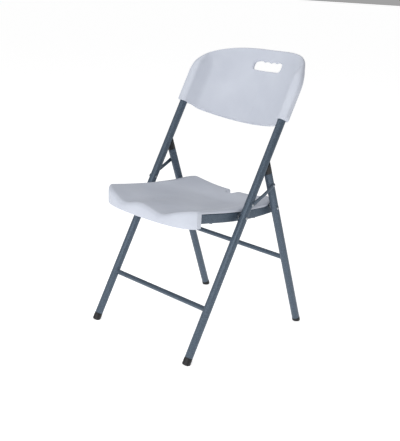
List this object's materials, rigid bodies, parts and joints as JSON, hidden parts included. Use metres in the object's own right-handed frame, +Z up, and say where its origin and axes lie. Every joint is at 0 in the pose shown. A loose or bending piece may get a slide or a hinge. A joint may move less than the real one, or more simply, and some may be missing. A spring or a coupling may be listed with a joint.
{
  "type": "folding chair",
  "caption": "Folding chair with a tube steel frame, a moulded seat and a bowed moulded back rest with a hand slot.",
  "frame": {"origin": "on the floor under the middle of the open chair's footprint box", "axes": "+X to the sitter's left, +Y towards the back rest, +Z up"},
  "size_m": [0.475, 0.5912, 0.8778],
  "materials": {
    "painted_steel": "slate grey powder coat, slightly glossy",
    "moulded_plastic": "pale cool grey polyethylene with a fine moulded grain",
    "black_plastic": "black moulded plastic",
    "plated_steel": "zinc-plated steel fasteners"
  },
  "bodies": {
    "front_frame": {"front_leg_left": "painted_steel", "front_leg_right": "painted_steel", "front_rung": "painted_steel", "back_panel": "moulded_plastic", "back_screw_1": "plated_steel", "back_screw_2": "plated_steel", "back_screw_3": "plated_steel", "back_screw_4": "plated_steel", "front_foot_left": "black_plastic", "front_foot_right": "black_plastic", "seat_pivot_rivet_left": "plated_steel", "seat_pivot_rivet_right": "plated_steel", "seat_pivot_spacer_left": "plated_steel", "seat_pivot_spacer_right": "plated_steel", "link_front_rivet_left": "plated_steel", "link_front_rivet_right": "plated_steel"},
    "seat": {"seat_panel": "moulded_plastic", "seat_rail_left": "painted_steel", "seat_rail_right": "painted_steel", "seat_cross_tube": "painted_steel", "seat_screw_1": "plated_steel", "seat_screw_2": "plated_steel", "seat_screw_3": "plated_steel", "seat_screw_4": "plated_steel"},
    "rear_legs": {"rear_leg_left": "painted_steel", "rear_leg_right": "painted_steel", "rear_rung": "painted_steel", "rear_foot_left": "black_plastic", "rear_foot_right": "black_plastic", "rear_leg_cap_left": "black_plastic", "rear_leg_cap_right": "black_plastic", "rear_pivot_rivet_left": "plated_steel", "rear_pivot_rivet_right": "plated_steel", "rear_pivot_spacer_left": "plated_steel", "rear_pivot_spacer_right": "plated_steel"},
    "links": {"link_left": "painted_steel", "link_right": "painted_steel", "link_rear_rivet_left": "plated_steel", "link_rear_rivet_right": "plated_steel"}
  },
  "joints": [
    {"name": "seat_fold", "type": "hinge", "parent": "front_frame", "child": "seat", "pos_m": [0, -0.06548, 0.41422], "axis": [-1, 0, 0], "range_deg": [0, 105]},
    {"name": "rear_legs_fold", "type": "hinge", "parent": "seat", "child": "rear_legs", "pos_m": [0, 0.07657, 0.42246], "axis": [1, 0, 0], "range_deg": [0, 61.2]},
    {"name": "links_fold", "type": "hinge", "parent": "front_frame", "child": "links", "pos_m": [0, -0.04494, 0.45302], "axis": [-1, 0, 0], "range_deg": [0, 125.6]}
  ],
  "couplings": [
    {"joint": "rear_legs_fold", "follows": "seat_fold", "ratio": 0.5822},
    {"joint": "links_fold", "follows": "seat_fold", "ratio": 1.1949}
  ]
}
